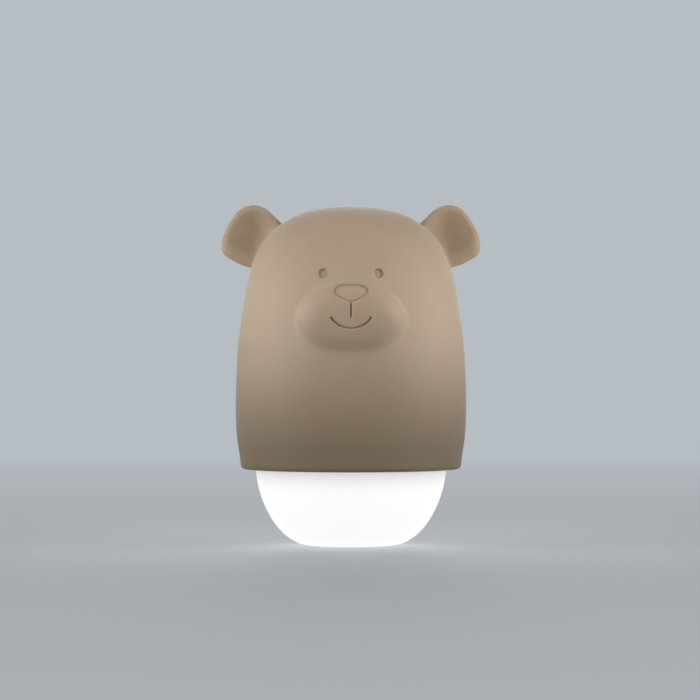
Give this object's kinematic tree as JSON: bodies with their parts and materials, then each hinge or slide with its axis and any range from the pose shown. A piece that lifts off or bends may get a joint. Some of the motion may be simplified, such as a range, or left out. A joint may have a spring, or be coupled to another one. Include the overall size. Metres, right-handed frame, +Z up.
{
  "type": "plug-in night light",
  "caption": "Night light: a soft bear-shaped cover pulls up off a plastic casing, which a glowing bowl closes from below, with a two-pin plug and a slide switch on its back block.",
  "frame": {"origin": "centre of the flat underside of the light bowl, straight below the widest section of the cover", "axes": "+Z up towards the crown, +Y backwards along the plug's pins, the face looks along -Y"},
  "size_m": [0.0756, 0.0892, 0.0995],
  "materials": {
    "silicone_cover": "matte, faint soft sheen",
    "casing_plastic": "fine satin",
    "milky_plastic": "smooth milky, lit from inside",
    "tray_plastic": "bright white satin",
    "light_board_laminate": "white solder mask",
    "led_phosphor": "yellow phosphor gel",
    "screw_steel": "zinc plated",
    "plug_plastic": "fine satin",
    "pin_metal": "nickel plated",
    "sleeve_plastic": "matte black",
    "board_laminate": "green solder mask",
    "capacitor_film": "dipped yellow",
    "capacitor_sleeve": "shrunk sleeve",
    "chip_resin": "moulded resin",
    "resistor_ceramic": "dull ceramic coat",
    "varistor_resin": "dipped blue",
    "header_nylon": "natural nylon",
    "sensor_resin": "dark clear resin",
    "lens_smoke": "smoked, polished",
    "switch_can_steel": "tinned",
    "knob_plastic": "fine satin",
    "brown_insulation": "soft sheen",
    "blue_insulation": "soft sheen",
    "red_insulation": "soft sheen",
    "grey_insulation": "soft sheen"
  },
  "bodies": {
    "casing": {"front_housing": "casing_plastic", "rear_housing": "casing_plastic", "diffuser": "milky_plastic", "reflector_tray": "tray_plastic", "light_board": "light_board_laminate", "led_1": "led_phosphor", "led_2": "led_phosphor", "led_3": "led_phosphor", "led_4": "led_phosphor", "led_5": "led_phosphor", "led_6": "led_phosphor", "light_board_screw_1": "screw_steel", "light_board_screw_2": "screw_steel", "housing_screw_1": "screw_steel", "housing_screw_2": "screw_steel", "housing_screw_3": "screw_steel", "housing_screw_4": "screw_steel", "plug_insert": "plug_plastic", "plug_pin_left": "pin_metal", "pin_sleeve_left": "sleeve_plastic", "plug_pin_right": "pin_metal", "pin_sleeve_right": "sleeve_plastic", "plug_insert_screw_1": "screw_steel", "plug_insert_screw_2": "screw_steel", "main_board": "board_laminate", "main_board_screw_1": "screw_steel", "main_board_screw_2": "screw_steel", "film_capacitor": "capacitor_film", "drum_capacitor": "capacitor_sleeve", "bridge_rectifier": "chip_resin", "fuse_resistor": "resistor_ceramic", "varistor": "varistor_resin", "driver_chip": "chip_resin", "light_wire_header": "header_nylon", "light_sensor": "sensor_resin", "sensor_lens": "lens_smoke", "switch_body": "switch_can_steel", "switch_board": "board_laminate", "mains_wire_left": "brown_insulation", "mains_wire_right": "blue_insulation", "light_wire_plus": "red_insulation", "light_wire_minus": "grey_insulation", "switch_wire_upper": "red_insulation", "switch_wire_lower": "grey_insulation"},
    "cover": {"bear_cover": "silicone_cover"},
    "switch_slider": {"switch_knob": "knob_plastic", "switch_lever": "chip_resin"}
  },
  "joints": [
    {"name": "cover_lift", "type": "slide", "parent": "casing", "child": "cover", "axis": [0, 0, 1], "range_m": [0, 0.08]},
    {"name": "switch_slide", "type": "slide", "parent": "casing", "child": "switch_slider", "axis": [0, 0, 1], "range_m": [-0.002, 0.002]}
  ]
}
